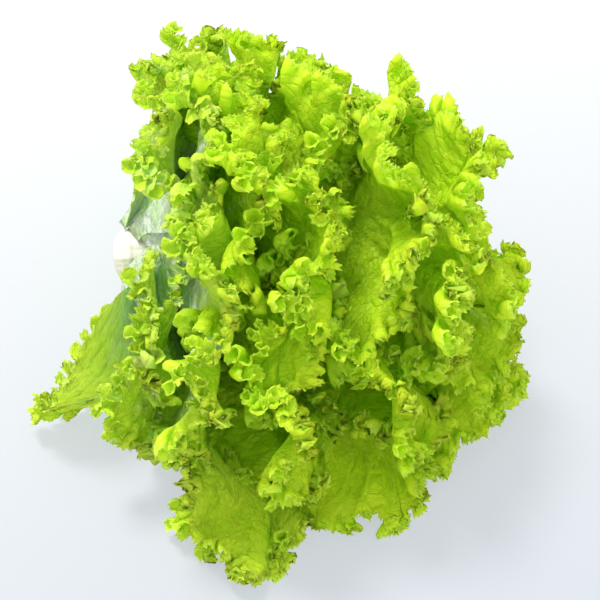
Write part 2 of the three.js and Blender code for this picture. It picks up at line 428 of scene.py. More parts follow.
# %% [markdown]
# ### How one leaf grows
#
# The blade folds in waves of 62 mm, the margin ruffles in waves of 17 mm on top of them, and then it curls
# and frills. The foot grows little, so it stays flat. All of it could be one displacement texture, but a
# texture has no direction, and the crests of real waves run straight out across the margin.

# %% Growing one leaf
# Each set of waves: its length along the margin, height, reach into the blade, and overhang.
FOLDS_OF_BLADE = (62.0, 8.5, 45.0, 0.0)
RUFFLES = (17.0, 4.9, 14.5, 0.30)
CURLS = (8.4, 3.8, 7.2, 0.44)
FRILLS = (4.8, 0.5, 2.6, 0.20)
# The foot of a leaf stays flat this far up, and an old leaf's foot is longer.
FLAT_FOOT = 34.0
FLAT_FOOT_OLD = 57.0
# Leaves opened further than this lie pressed on the table, which leaves this share of their large waves.
LYING = 1.03
PRESSED = 0.45
# A leaf of this length or more has waves of full size.
FULL_LENGTH = 115.0
# The margin curls back by this many radians, within this distance of it and from this far up the leaf, and
# fully after that much more.
CURL_BACK = 0.13
CURL_BACK_WITHIN = 30.0
CURL_BACK_FROM = 45.0
CURL_BACK_OVER = 35.0
# The waves grow to full size over this distance from the flat foot.
WAVES_OVER = 32.0
# Every so many millimetres along the margin the curls are this share higher, and lower in between.
CALM_WAVE = 71.0
CALM = 0.22


def grow(leaf, t, seed):
    """The curled leaf: a grid of points, and what each of them is on the flat leaf."""
    rng = np.random.default_rng(seed)
    name, openness, _, length, _, _ = leaf
    u, m, along, across, inside, s = leaf_grid(leaf, t, rng)
    curl_back = CURL_BACK * ease(1.0 - inside / CURL_BACK_WITHIN)
    curl_back = curl_back * ease((s - CURL_BACK_FROM) / CURL_BACK_OVER)
    p = place(leaf, along, across, curl_back)
    size = min(1.0, length / FULL_LENGTH)
    foot = size * (FLAT_FOOT_OLD if name.startswith("outer") else FLAT_FOOT)
    strength = ease((s - foot) / WAVES_OVER) * np.ones_like(m)
    large = strength * size * (PRESSED if openness > LYING else 1.0)
    calm = 1.0 + CALM * np.sin(u * 2.0 * math.pi / CALM_WAVE + any_phase(rng))
    p = waves(p, inside, large, *FOLDS_OF_BLADE, rng)
    p = waves(p, inside, large, *RUFFLES, rng)
    p = waves(p, inside, strength * calm, *CURLS, rng)
    p = waves(p, inside, strength * calm, *FRILLS, rng)
    return teeth(p, strength, rng), u, m, along, across, inside


# %% [markdown]
# ### Even columns
#
# The grown margin is several times as long as the flat outline, and it has grown more in some places than
# in others. Columns at even steps of the flat outline would leave the curls short of points, so they take
# even steps of the grown margin instead.

# %% Columns along the grown margin
# The outline is measured at this many places. Half a leaf has this many of the coarsest columns in the
# first round, and never fewer than this.
OUTLINE_PLACES = 1600
FIRST_COLUMNS = 45
FEWEST_COLUMNS = 12
# The spacing is averaged over this many columns each way. A millimetre of the stalk's side counts as this
# share of one, and a share of the outline later as a whole one.
SMOOTHED = 12
STALK_COUNTS = 0.4
STALK_TO = 0.3


def column_places(leaf, spacing, seed):
    """Columns this far apart along the finished margin, and wider near the stalk, which is hidden.

    The margin's length is known only when the leaf is grown, so three rounds of growing settle it."""
    fine = np.linspace(0.0, 1.0, OUTLINE_PLACES)
    fx, fs = outline(leaf, fine)
    fu = np.concatenate([[0.0], np.cumsum(np.hypot(np.diff(fx), np.diff(fs)))])
    half = FIRST_COLUMNS * COARSEST
    t = np.interp(np.linspace(0.0, fu[-1], half + 1), fu, fine)
    for _ in range(3):
        p = grow(leaf, np.concatenate([t, t[-2::-1]]), seed)[0]
        steps = np.linalg.norm(np.diff(p[-2], axis=0), axis=1)
        steps = 0.5 * (steps[:half] + steps[::-1][:half])
        steps = steps * (STALK_COUNTS + (1.0 - STALK_COUNTS) * ease((t[1:] - STALK_TO) / STALK_TO))
        average = np.ones(2 * SMOOTHED + 1) / (2 * SMOOTHED + 1)
        steps = np.convolve(np.pad(steps, SMOOTHED, mode="edge"), average, mode="valid")
        far = np.concatenate([[0.0], np.cumsum(steps)])
        half = COARSEST * max(FEWEST_COLUMNS, round(far[-1] / spacing / COARSEST))
        t = np.interp(np.linspace(0.0, far[-1], half + 1), far, t)
    return np.concatenate([t, t[-2::-1]])


# %% [markdown]
# ### Triangles
#
# Two rings with the same columns are joined by two triangles for each step. Where the columns double, three
# triangles fill the step. The wider spacing could also simply end on an edge of the finer one, but then a
# crack would open there as soon as the blade is curled.

# %% Triangles over the grid


def leaf_faces(columns, strides):
    """Triangles over the grid, as indexes of grid points, where ring r uses every strides[r]-th column."""
    width = columns + 1
    half = columns // 2

    def point(r, c):
        c = np.where((r == 0) & (c > half), columns - c, c)
        return r * width + c

    parts = []
    for r in range(len(strides) - 1):
        wide = strides[r]
        fine = strides[r + 1]
        a = np.arange(0, columns, wide)
        b = a + wide
        if wide == fine:
            parts.append(np.stack([point(r, a), point(r + 1, a), point(r + 1, b)], 1))
            parts.append(np.stack([point(r, a), point(r + 1, b), point(r, b)], 1))
        else:
            mid = a + fine
            parts.append(np.stack([point(r, a), point(r + 1, a), point(r + 1, mid)], 1))
            parts.append(np.stack([point(r, a), point(r + 1, mid), point(r, b)], 1))
            parts.append(np.stack([point(r, b), point(r + 1, mid), point(r + 1, b)], 1))
    faces = np.concatenate(parts)
    flat = (faces[:, 0] == faces[:, 1]) | (faces[:, 1] == faces[:, 2]) | (faces[:, 2] == faces[:, 0])
    return faces[~flat]


def open_edges(faces, count):
    """Directed edges that only one triangle has."""
    edges = np.concatenate([faces[:, [0, 1]], faces[:, [1, 2]], faces[:, [2, 0]]])
    forward = edges[:, 0].astype(np.int64) * count + edges[:, 1]
    backward = edges[:, 1].astype(np.int64) * count + edges[:, 0]
    return edges[~np.isin(forward, backward)]


def point_normals(points, faces):
    """Unit normal at each point, from the triangles round it."""
    corner = points[faces]
    face = np.cross(corner[:, 1] - corner[:, 0], corner[:, 2] - corner[:, 0])
    total = np.zeros_like(points)
    for k in range(3):
        for axis in range(3):
            total[:, axis] += np.bincount(faces[:, k], weights=face[:, axis], minlength=len(points))
    return total / np.maximum(np.linalg.norm(total, axis=1, keepdims=True), 1e-12)


# %% A mesh and what it carries


def mesh_object(name, points, faces, material):
    """A smooth-shaded Blender object from numpy arrays of points in metres and triangles."""
    mesh = bpy.data.meshes.new(name)
    mesh.vertices.add(len(points))
    mesh.vertices.foreach_set("co", points.astype(np.float32).ravel())
    mesh.loops.add(faces.size)
    mesh.loops.foreach_set("vertex_index", faces.astype(np.int32).ravel())
    mesh.polygons.add(len(faces))
    mesh.polygons.foreach_set("loop_start", np.arange(0, faces.size, 3, dtype=np.int32))
    mesh.polygons.foreach_set("use_smooth", np.full(len(faces), True))
    mesh.update(calc_edges=True)
    mesh.materials.append(material)
    piece = bpy.data.objects.new(name, mesh)
    bpy.context.collection.objects.link(piece)
    return piece


def sharpen(piece, on_rim):
    """Split the shading where upper and lower face meet: both ends of such an edge are on the rim."""
    ends = np.zeros(2 * len(piece.data.edges), dtype=np.int32)
    piece.data.edges.foreach_get("vertices", ends)
    sharp = on_rim[ends].reshape(-1, 2).all(axis=1)
    layer = piece.data.attributes.new("sharp_edge", "BOOLEAN", "EDGE")
    layer.data.foreach_set("value", sharp)


def store(piece, name, values):
    """Keep one number per point on the mesh, for its material to read."""
    layer = piece.data.attributes.new(name, "FLOAT", "POINT")
    layer.data.foreach_set("value", values.astype(np.float32).ravel())


# %% [markdown]
# ### A thin solid
#
# A real blade is about half a millimetre thick, and its midrib stands out on the back. A Solidify modifier
# would thicken the blade well, but the midrib, the thin margin and the table each need a distance of their
# own at every point. So the upper and the lower face are made here, and they meet at the margin.

# %% Upper face, lower face and edge
# Thickness of the blade and of its margin, and how far in from the margin the blade is full.
BLADE_MM = 0.55
EDGE_MM = 0.35
EDGE_OVER = 12.0
# How far the lowest points stay off the table. Points lower than the second value are eased up to that gap.
FLOOR_GAP = 0.25
NEAR_FLOOR = 3.0


def closed_leaf(points, faces, normal, half_blade, rib, rim):
    """Upper and lower faces that share the margin; returns points, triangles and what each point was."""
    count = len(points)
    upper = points + normal * np.where(rim, 0.0, half_blade)[:, None]
    lower = points - normal * (half_blade + rib)[:, None]
    both = np.concatenate([upper, lower])
    low = both[:, 2]
    eased = FLOOR_GAP + (NEAR_FLOOR - FLOOR_GAP) * np.exp((low - NEAR_FLOOR) / NEAR_FLOOR)
    both[:, 2] = np.where(low < NEAR_FLOOR, eased, low)
    under = np.where(rim, np.arange(count), np.arange(count) + count)
    edges = open_edges(faces, count)
    a = edges[:, 0]
    b = edges[:, 1]
    band = np.concatenate([np.stack([a, under[a], b], 1), np.stack([b, under[a], under[b]], 1)])
    twin = (band[:, 0] == band[:, 1]) | (band[:, 1] == band[:, 2]) | (band[:, 2] == band[:, 0])
    solid = np.concatenate([faces, under[faces[:, ::-1]], band[~twin]])
    used = np.unique(solid)
    new = np.full(2 * count, -1)
    new[used] = np.arange(len(used))
    return both[used], new[solid], used


# %% The midrib on the back
# The midrib stands out on the back: half its width and its height at the tip, and how much more at the
# stalk, all in millimetres.
RIB_HALF = 1.2
RIB_HALF_MORE = 7.0
RIB_HIGH = 0.5
RIB_HIGH_MORE = 5.0
# It has its tip's width and its tip's height from these shares of the leaf on. A young leaf has less of it.
RIB_NARROW = 0.7
RIB_LOW = 0.6
RIB_YOUNG = 0.3
# It sinks into the blade over this last distance from the margin.
RIB_ENDS = 6.0


def midrib(leaf, along, across, inside):
    """How far the midrib stands out on the back of a leaf, in millimetres."""
    _, openness, _, length, _, _ = leaf
    far = (along - BASE_RADIUS) / (length - BASE_RADIUS)
    half = RIB_HALF + RIB_HALF_MORE * (1.0 - ease(far / RIB_NARROW))
    high = (RIB_HIGH + RIB_HIGH_MORE * (1.0 - ease(far / RIB_LOW))) * min(1.0, RIB_YOUNG + openness)
    return high * np.exp(-((across / half) ** 2)) * ease(inside / RIB_ENDS)


# %% One leaf
# Each leaf has random numbers of its own, so a change to one leaf leaves the others as they are.
FIRST_SEED = 700
# A leaf is opened and closed by this many radians to find which of its faces looks at the heart.
NUDGE = 0.02


def make_leaf(index, leaf, spacing, material):
    """Grow one leaf, store what its material needs, and hand it to the frame. Returns its triangles."""
    seed = FIRST_SEED + index
    name = leaf[0]
    t = column_places(leaf, spacing, seed)
    p, u, m, along, across, inside = grow(leaf, t, seed)
    faces = leaf_faces(len(t) - 1, [stride for _, stride in MARGIN_RINGS][::-1])
    used = np.unique(faces)
    new = np.full(p.shape[0] * p.shape[1], -1)
    new[used] = np.arange(len(used))
    faces = new[faces]
    points = p.reshape(-1, 3)[used]
    grid = np.ones_like(p[..., 0])
    along, across, inside, margin, ring = [
        (v * grid).reshape(-1)[used] for v in (along, across, inside, u[None, :], m)]

    normal = point_normals(points, faces)
    inner = place(leaf, along, across, -NUDGE) - place(leaf, along, across, NUDGE)
    if np.sum(normal * inner) < 0.0:
        faces = faces[:, ::-1]
        normal = -normal
    half_blade = 0.5 * (EDGE_MM + (BLADE_MM - EDGE_MM) * ease(inside / EDGE_OVER))
    rib = midrib(leaf, along, across, inside)
    rim = ring > 1.0 - 1e-9
    solid_points, solid, was = closed_leaf(points, faces, normal, half_blade, rib, rim)

    piece = mesh_object(name + "_blade", solid_points * MM, solid, material)
    of_point = was % len(points)
    sharpen(piece, rim[of_point])
    up_leaf = along / min(1.0, leaf[3] / FULL_LENGTH)
    for label, distance in [("across", across), ("along", along), ("up_leaf", up_leaf), ("inside", inside),
                            ("margin", margin)]:
        store(piece, label, distance[of_point] * MM)
    store(piece, "spread", ring[of_point])
    store(piece, "back", np.where(rim[of_point], 0.5, (was >= len(points)).astype(float)))
    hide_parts(name)
    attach(piece, BODY)
    return len(solid)


# %% [markdown]
# ## Leaf tissue
#
# A lettuce leaf is fresh plant tissue: water-filled cells under a thin clear wax. It could be painted as
# one green gloss, but light passes through a real leaf, so leaf over leaf glows yellow-green and only the
# deep gaps turn dark. Here a soft glossy surface is mixed with a translucent one, and all patterns are
# drawn in millimetres on the flat leaf, so they follow every curl.

# %% Helpers for materials


def linear(code):
    """An sRGB hex colour as linear RGBA."""
    channels = [int(code[i:i + 2], 16) / 255.0 for i in (1, 3, 5)]
    return [c / 12.92 if c <= 0.04045 else ((c + 0.055) / 1.055) ** 2.4 for c in channels] + [1.0]


def node(tree, kind, settings=None, links=None, output=0):
    """Add a node, set its properties and sockets, link its inputs, and return one output."""
    made = tree.nodes.new(kind)
    for key, value in (settings or {}).items():
        if isinstance(key, str) and hasattr(made, key):
            setattr(made, key, value)
        else:
            made.inputs[key].default_value = value
    for key, source in (links or {}).items():
        tree.links.new(source, made.inputs[key])
    return None if output is None else made.outputs[output]


def new_material(name):
    """A material whose node tree is still empty."""
    material = bpy.data.materials.new(name)
    material.use_nodes = True
    material.node_tree.nodes.clear()
    return material


# %% [markdown]
# ### Veins
#
# Side veins leave the midrib about every 11 mm and run to the margin, and a net of fine veins joins them in
# cells of 5 mm and 2 mm. The tissue bulges between the veins, most of all in patches of 10 mm. Where a point
# lies between midrib and margin is stored on the mesh, so a side vein is simply a place where the margin
# coordinate is near a whole number of steps.

# %% The vein pattern
VEIN_STEP = 0.011
# Cells per metre: the net of veins, the hair veins inside it, and the patches that bulge.
NET = 190.0
HAIR = 520.0
PATCHES = 95.0


def vein_pattern(tree, flat):
    """How much a point is vein, from 0 to 1, and how far the tissue bulges between veins."""
    margin = node(tree, "ShaderNodeAttribute", {"attribute_name": "margin"}, output="Fac")
    spread = node(tree, "ShaderNodeAttribute", {"attribute_name": "spread"}, output="Fac")
    steps = node(tree, "ShaderNodeMath", {"operation": "DIVIDE", 1: VEIN_STEP}, {0: margin})
    wobble = node(tree, "ShaderNodeTexNoise", {"noise_dimensions": "2D", "Scale": 60.0, "Detail": 2.0},
                  {"Vector": flat}, "Fac")
    steps = node(tree, "ShaderNodeMath", {"operation": "MULTIPLY_ADD", 1: 0.9}, {0: wobble, 2: steps})
    part = node(tree, "ShaderNodeMath", {"operation": "FRACT"}, {0: steps})
    part = node(tree, "ShaderNodeMath", {"operation": "SUBTRACT", 1: 0.5}, {0: part})
    part = node(tree, "ShaderNodeMath", {"operation": "ABSOLUTE"}, {0: part})
    part = node(tree, "ShaderNodeMath", {"operation": "MULTIPLY", 1: VEIN_STEP}, {0: part})
    part = node(tree, "ShaderNodeMath", {"operation": "MULTIPLY"}, {0: part, 1: spread})
    side = node(tree, "ShaderNodeMapRange", {"interpolation_type": "SMOOTHSTEP", "From Min": 0.0002,
                "From Max": 0.0009, "To Min": 1.0, "To Max": 0.0}, {"Value": part})
    cells, small, large = [
        node(tree, "ShaderNodeTexVoronoi", {"voronoi_dimensions": "2D", "feature": "DISTANCE_TO_EDGE",
             "Scale": scale}, {"Vector": flat}, "Distance") for scale in (NET, HAIR, PATCHES)]
    net = node(tree, "ShaderNodeMapRange", {"interpolation_type": "SMOOTHSTEP", "From Min": 0.0,
               "From Max": 0.14, "To Min": 0.6, "To Max": 0.0}, {"Value": cells})
    hair = node(tree, "ShaderNodeMapRange", {"interpolation_type": "SMOOTHSTEP", "From Min": 0.0,
                "From Max": 0.16, "To Min": 0.35, "To Max": 0.0}, {"Value": small})
    veins = node(tree, "ShaderNodeMath", {"operation": "MAXIMUM"}, {0: net, 1: hair})
    veins = node(tree, "ShaderNodeMath", {"operation": "MAXIMUM"}, {0: veins, 1: side})
    bulge = node(tree, "ShaderNodeMapRange", {"interpolation_type": "SMOOTHSTEP", "From Min": 0.0,
                 "From Max": 0.35, "To Min": 0.0, "To Max": 0.5}, {"Value": cells})
    quilt = node(tree, "ShaderNodeMapRange", {"interpolation_type": "SMOOTHSTEP", "From Min": 0.0,
                 "From Max": 0.4, "To Min": 0.0, "To Max": 1.0}, {"Value": large})
    blister = node(tree, "ShaderNodeMath", {"operation": "MULTIPLY", 1: -0.6}, {0: hair})
    bulge = node(tree, "ShaderNodeMath", {"operation": "ADD"}, {0: bulge, 1: quilt})
    bulge = node(tree, "ShaderNodeMath", {"operation": "ADD"}, {0: bulge, 1: blister})
    bulge = node(tree, "ShaderNodeMath", {"operation": "MULTIPLY_ADD", 1: -0.3}, {0: side, 2: bulge})
    return veins, bulge


# %% [markdown]
# ### Pigment, and a painted glow on the rim
#
# The blade is light green inside and yellow-green where it curls, because the young tissue of the margin
# holds less pigment. Its paper-thin rim is pale yellow, partly its own colour and partly a painted glow of
# the light that shines through it, and here and there straw-coloured where it has begun to dry. The midrib
# and the foot of the leaf hold hardly any pigment, so they are white, with fibres that run up the leaf. The
# white reaches further on the back of a leaf, and the whole back is paler. A colour ramp along the leaf
# could give all of this, but veins, fibres and rim each have their own direction, so each is a mask of its
# own.

# %% The white foot and midrib


def white_tissue(tree, flat, foot):
    """1 on the white midrib and foot of the leaf; foot is how far up the leaf the white reaches."""
    across = node(tree, "ShaderNodeAttribute", {"attribute_name": "across"}, output="Fac")
    along = node(tree, "ShaderNodeAttribute", {"attribute_name": "up_leaf"}, output="Fac")
    back = node(tree, "ShaderNodeAttribute", {"attribute_name": "back"}, output="Fac")
    nearer = node(tree, "ShaderNodeMath", {"operation": "MULTIPLY_ADD", 1: -0.32, 2: 1.0}, {0: back})
    reach = node(tree, "ShaderNodeMath", {"operation": "MULTIPLY"}, {0: along, 1: nearer})
    ragged = node(tree, "ShaderNodeTexNoise", {"noise_dimensions": "2D", "Scale": 75.0, "Detail": 3.0},
                  {"Vector": flat}, "Fac")
    reach = node(tree, "ShaderNodeMath", {"operation": "MULTIPLY_ADD", 1: 0.02}, {0: ragged, 2: reach})
    off = node(tree, "ShaderNodeMath", {"operation": "ABSOLUTE"}, {0: across})
    width = node(tree, "ShaderNodeMapRange", {"interpolation_type": "SMOOTHSTEP", "From Min": 0.016,
                 "From Max": foot + 0.015, "To Min": 0.0075, "To Max": 0.0004}, {"Value": reach})
    rib = node(tree, "ShaderNodeMath", {"operation": "DIVIDE"}, {0: off, 1: width})
    rib = node(tree, "ShaderNodeMapRange", {"interpolation_type": "SMOOTHSTEP", "From Min": 0.6,
               "From Max": 1.4, "To Min": 1.0, "To Max": 0.0}, {"Value": rib})
    ends = node(tree, "ShaderNodeMapRange", {"interpolation_type": "SMOOTHSTEP", "From Min": foot,
                "From Max": foot + 0.03, "To Min": 1.0, "To Max": 0.0}, {"Value": reach})
    rib = node(tree, "ShaderNodeMath", {"operation": "MULTIPLY"}, {0: rib, 1: ends})
    patch = node(tree, "ShaderNodeMapRange", {"interpolation_type": "SMOOTHSTEP", "From Min": 0.5 * foot,
                 "From Max": 1.1 * foot, "To Min": 1.0, "To Max": 0.0}, {"Value": reach})
    side = node(tree, "ShaderNodeMapRange", {"interpolation_type": "SMOOTHSTEP", "From Min": 0.3 * foot,
                "From Max": 0.8 * foot, "To Min": 1.0, "To Max": 0.0}, {"Value": off})
    patch = node(tree, "ShaderNodeMath", {"operation": "MULTIPLY"}, {0: patch, 1: side})
    return node(tree, "ShaderNodeMath", {"operation": "MAXIMUM"}, {0: rib, 1: patch})


# %% The green of the blade
# Paler greens along the veins and on the back, and the straw colour of a dried rim.
VEIN_GREEN = "#E4FF38"
BACK_GREEN = "#E0F83C"
STRAW = "#F2EE50"


def blade_green(tree, flat, veins, colours):
    """The green of the blade, from its deep, bright and rim colours."""
    deep, bright, rim = colours
    inside = node(tree, "ShaderNodeAttribute", {"attribute_name": "inside"}, output="Fac")
    back = node(tree, "ShaderNodeAttribute", {"attribute_name": "back"}, output="Fac")
    cloud = node(tree, "ShaderNodeTexNoise", {"noise_dimensions": "2D", "Scale": 38.0, "Detail": 3.0},
                 {"Vector": flat}, "Fac")
    young = node(tree, "ShaderNodeMapRange", {"interpolation_type": "SMOOTHSTEP", "From Min": 0.0,
                 "From Max": 0.018, "To Min": 0.66, "To Max": -0.25}, {"Value": inside})
    young = node(tree, "ShaderNodeMath", {"operation": "MULTIPLY_ADD", "use_clamp": True, 1: 0.9},
                 {0: cloud, 2: young})
    green = node(tree, "ShaderNodeMix", {"data_type": "RGBA", 6: linear(deep), 7: linear(bright)},
                 {0: young}, 2)
    pale = node(tree, "ShaderNodeMath", {"operation": "MULTIPLY", 1: 0.6}, {0: veins})
    green = node(tree, "ShaderNodeMix", {"data_type": "RGBA", 7: linear(VEIN_GREEN)}, {0: pale, 6: green}, 2)
    matt = node(tree, "ShaderNodeMath", {"operation": "MULTIPLY", 1: 0.2}, {0: back})
    green = node(tree, "ShaderNodeMix", {"data_type": "RGBA", 7: linear(BACK_GREEN)}, {0: matt, 6: green}, 2)
    # The rim: its own pale yellow, and partly a painted glow of the light shining through the thin margin.
    edge = node(tree, "ShaderNodeMapRange", {"interpolation_type": "SMOOTHSTEP", "From Min": 0.0002,
                "From Max": 0.0011, "To Min": 1.0, "To Max": 0.0}, {"Value": inside})
    green = node(tree, "ShaderNodeMix", {"data_type": "RGBA", 7: linear(rim)}, {0: edge, 6: green}, 2)
    dry = node(tree, "ShaderNodeTexNoise", {"noise_dimensions": "2D", "Scale": 160.0, "Detail": 1.0},
               {"Vector": flat}, "Fac")
    dry = node(tree, "ShaderNodeMapRange", {"interpolation_type": "SMOOTHSTEP", "From Min": 0.70,
               "From Max": 0.80, "To Min": 0.0, "To Max": 0.2}, {"Value": dry})
    dry = node(tree, "ShaderNodeMath", {"operation": "MULTIPLY"}, {0: dry, 1: edge})
    return node(tree, "ShaderNodeMix", {"data_type": "RGBA", 7: linear(STRAW)}, {0: dry, 6: green}, 2)


# %% White fibres and brown specks
PITH_WHITE = "#FAFFF0"
PITH_GREEN = "#CCF088"
SPECK_BROWN = "#6B4A22"


def leaf_colour(tree, flat, bulge, green, white):
    """Colour of the whole leaf, and how brown it is."""
    grain = node(tree, "ShaderNodeMapping", {"Scale": (300.0, 45.0, 1.0)}, {"Vector": flat}, "Vector")
    fibre = node(tree, "ShaderNodeTexNoise", {"noise_dimensions": "2D", "Scale": 1.0, "Detail": 2.0},
                 {"Vector": grain}, "Fac")
    fibre = node(tree, "ShaderNodeMapRange", {"interpolation_type": "SMOOTHSTEP", "From Min": 0.42,
                 "From Max": 0.62, "To Min": 0.0, "To Max": 0.3}, {"Value": fibre})
    tint = node(tree, "ShaderNodeMath", {"operation": "MULTIPLY_ADD", 1: 0.4}, {0: bulge, 2: fibre})
    pith = node(tree, "ShaderNodeMix", {"data_type": "RGBA", 6: linear(PITH_WHITE), 7: linear(PITH_GREEN)},
                {0: tint}, 2)
    colour = node(tree, "ShaderNodeMix", {"data_type": "RGBA"}, {0: white, 6: green, 7: pith}, 2)
    # Specks are about a millimetre across, on one cell in fourteen of a 24 mm pattern.
    dots = node(tree, "ShaderNodeTexVoronoi", {"voronoi_dimensions": "2D", "Scale": 42.0},
                {"Vector": flat}, "Distance")
    lot = node(tree, "ShaderNodeSeparateColor", {}, {0: dots.node.outputs["Color"]})
    lot = node(tree, "ShaderNodeMath", {"operation": "GREATER_THAN", 1: 0.93}, {0: lot})
    speck = node(tree, "ShaderNodeMapRange", {"interpolation_type": "SMOOTHSTEP", "From Min": 0.012,
                 "From Max": 0.028, "To Min": 0.8, "To Max": 0.0}, {"Value": dots})
    speck = node(tree, "ShaderNodeMath", {"operation": "MULTIPLY"}, {0: speck, 1: lot})
    colour = node(tree, "ShaderNodeMix", {"data_type": "RGBA", 7: linear(SPECK_BROWN)},
                  {0: speck, 6: colour}, 2)
    return colour, speck


# %% The painted green of the shaded gaps
# Painted shade: a multiplier that takes red out of the light bounced between leaves.
GAP_SHADE_GREEN = "#B4FF90"


def paint_gap_shade(tree, colour):
    """The same colour, but painted a deeper green where its light falls on another leaf.

    Leaf after leaf takes the red out of light, so the gaps between real leaves are green, not olive. Here
    that
    shade is painted in: light bounced off a leaf is tinted greener than the leaf's own colour would make it."""
    bounced = node(tree, "ShaderNodeLightPath", output="Is Diffuse Ray")
    through = bounced.node.outputs["Is Transmission Ray"]
    shade_bounce = node(tree, "ShaderNodeMath", {"operation": "SUBTRACT", "use_clamp": True},
                   {0: bounced, 1: through})
    return node(tree, "ShaderNodeMix", {"data_type": "RGBA", "blend_type": "MULTIPLY", 7: linear(GAP_SHADE_GREEN)},
                {0: shade_bounce, 6: colour}, 2)


# %% [markdown]
# ### Surface
#
# Leaf wax has an IOR of about 1.4 and scatters a little, so its highlights are soft. Each face of the blade
# passes a little over half of the light on in the green tissue, and about a third in the white, which is
# thicker. The bulges between the veins are one to two millimetres high.

# %% The leaf material
BULGE = 0.0014
THROUGH_GREEN = 0.60
THROUGH_WHITE = 0.3


def leaf_tissue(name, foot, colours):
    """One family's leaf: how far up the white reaches in metres, and its deep, bright and rim colours."""
    material = new_material(name)
    tree = material.node_tree
    across = node(tree, "ShaderNodeAttribute", {"attribute_name": "across"}, output="Fac")
    along = node(tree, "ShaderNodeAttribute", {"attribute_name": "along"}, output="Fac")
    flat = node(tree, "ShaderNodeCombineXYZ", {}, {"X": across, "Y": along})
    veins, bulge = vein_pattern(tree, flat)
    white = white_tissue(tree, flat, foot)
    green = blade_green(tree, flat, veins, colours)
    colour, speck = leaf_colour(tree, flat, bulge, green, white)
    # Painted shade: light bounced from leaf to leaf is tinted a deeper green, so the gaps look green.
    colour = paint_gap_shade(tree, colour)
    relief = node(tree, "ShaderNodeBump", {"Strength": 1.0, "Distance": BULGE}, {"Height": bulge})
    wax = node(tree, "ShaderNodeBsdfPrincipled", {"Roughness": 0.4, "IOR": 1.4, "Specular IOR Level": 0.3},
               {"Base Color": colour, "Normal": relief})
    # Light crosses the upper and the lower face, so each of them tints it by the root of the colour.
    glow = node(tree, "ShaderNodeGamma", {"Gamma": 0.5}, {"Color": colour}, "Color")
    inner = node(tree, "ShaderNodeBsdfTranslucent", {}, {"Color": glow, "Normal": relief})
    opaque = node(tree, "ShaderNodeMath", {"operation": "MAXIMUM"}, {0: white, 1: speck})
    share = node(tree, "ShaderNodeMapRange", {"To Min": THROUGH_GREEN, "To Max": THROUGH_WHITE},
                 {"Value": opaque})
    both = node(tree, "ShaderNodeMixShader", {}, {0: share, 1: wax, 2: inner})
    node(tree, "ShaderNodeOutputMaterial", {}, {"Surface": both}, None)
    return material


# Each row: how far up the white reaches in metres, then the deep, bright and rim colours. The rim colour is
# partly a painted glow.
LEAF_MATERIALS = {
    "outer": leaf_tissue("outer_leaf_tissue", 0.082, ("#DAF030", "#F2FC4A", "#F0FC62")),
    "middle": leaf_tissue("middle_leaf_tissue", 0.050, ("#D0EE18", "#F0FC36", "#ECFC58")),
    "heart": leaf_tissue("heart_leaf_tissue", 0.040, ("#D4F018", "#F2FC3A", "#ECFC5C")),
}
print("leaf materials:", ", ".join(LEAF_MATERIALS))

# %% Grow every leaf
# Columns are this far apart, in millimetres, and wider in the leaves at the back and under the head. Those
# are open at least this far, between these azimuths.
FINE = 0.82
PLAIN = 1.1
PLAIN_OPEN = 0.5
PLAIN_FROM = 59
PLAIN_TO = 190
triangles = 0
for number, leaf in enumerate(LEAVES):
    hidden = leaf[1] > PLAIN_OPEN and PLAIN_FROM < leaf[2] < PLAIN_TO
    family = leaf[0].split("_")[0]
    triangles += make_leaf(number, leaf, PLAIN if hidden else FINE, LEAF_MATERIALS[family])
print("triangles:", triangles)

# %% [markdown]
# ## The stem
#
# The lettuce was cut from its root with a knife, so a short white stem shows behind the lowest leaves. It
# is ribbed, because every rib runs on into the midrib of a leaf, and it carries the scars of leaves that
# were pulled off. It could be a turned shape with a texture, but the ribs and scars are large enough to see
# from the side, so they are modelled: rings of points round the axis, each ring at its own radius.

# %% The stem's measures
# Points round the stem, rings on the cut face and rings along the side.
AROUND = 96
FACE_RINGS = 9
SIDE_RINGS = 52
# Distance along the axis from the heart, and radius, in millimetres.
STEM_SIDE = [(-14.5, 9.6), (-14.0, 10.8), (-12.5, 11.8), (-10.0, 12.4), (-7.0, 12.2), (-2.0, 10.8),
             (6.0, 8.4), (16.0, 5.8), (26.0, 2.6), (29.0, 0.8)]
# Ribs and finer lines run along the stem: how many of them, and how high they are in millimetres.
RIBS = 13.0
RIB_UP = 0.22
LINES = 29.0
LINE_UP = 0.1
# A leaf leaves a scar every golden angle round the stem: the first is this far from the cut, each next one
# this much further, and they stand out this much.
SCARS = 9
GOLDEN_ANGLE = math.radians(137.5)
SCAR_FIRST = 2.6
SCAR_STEP = 1.3
SCAR_UP = 0.8
print("stem:", STEM_SIDE[-1][0] - STEM_SIDE[0][0], "mm long,", 2.0 * max(r for _, r in STEM_SIDE), "mm thick")

# %% The stem's mesh


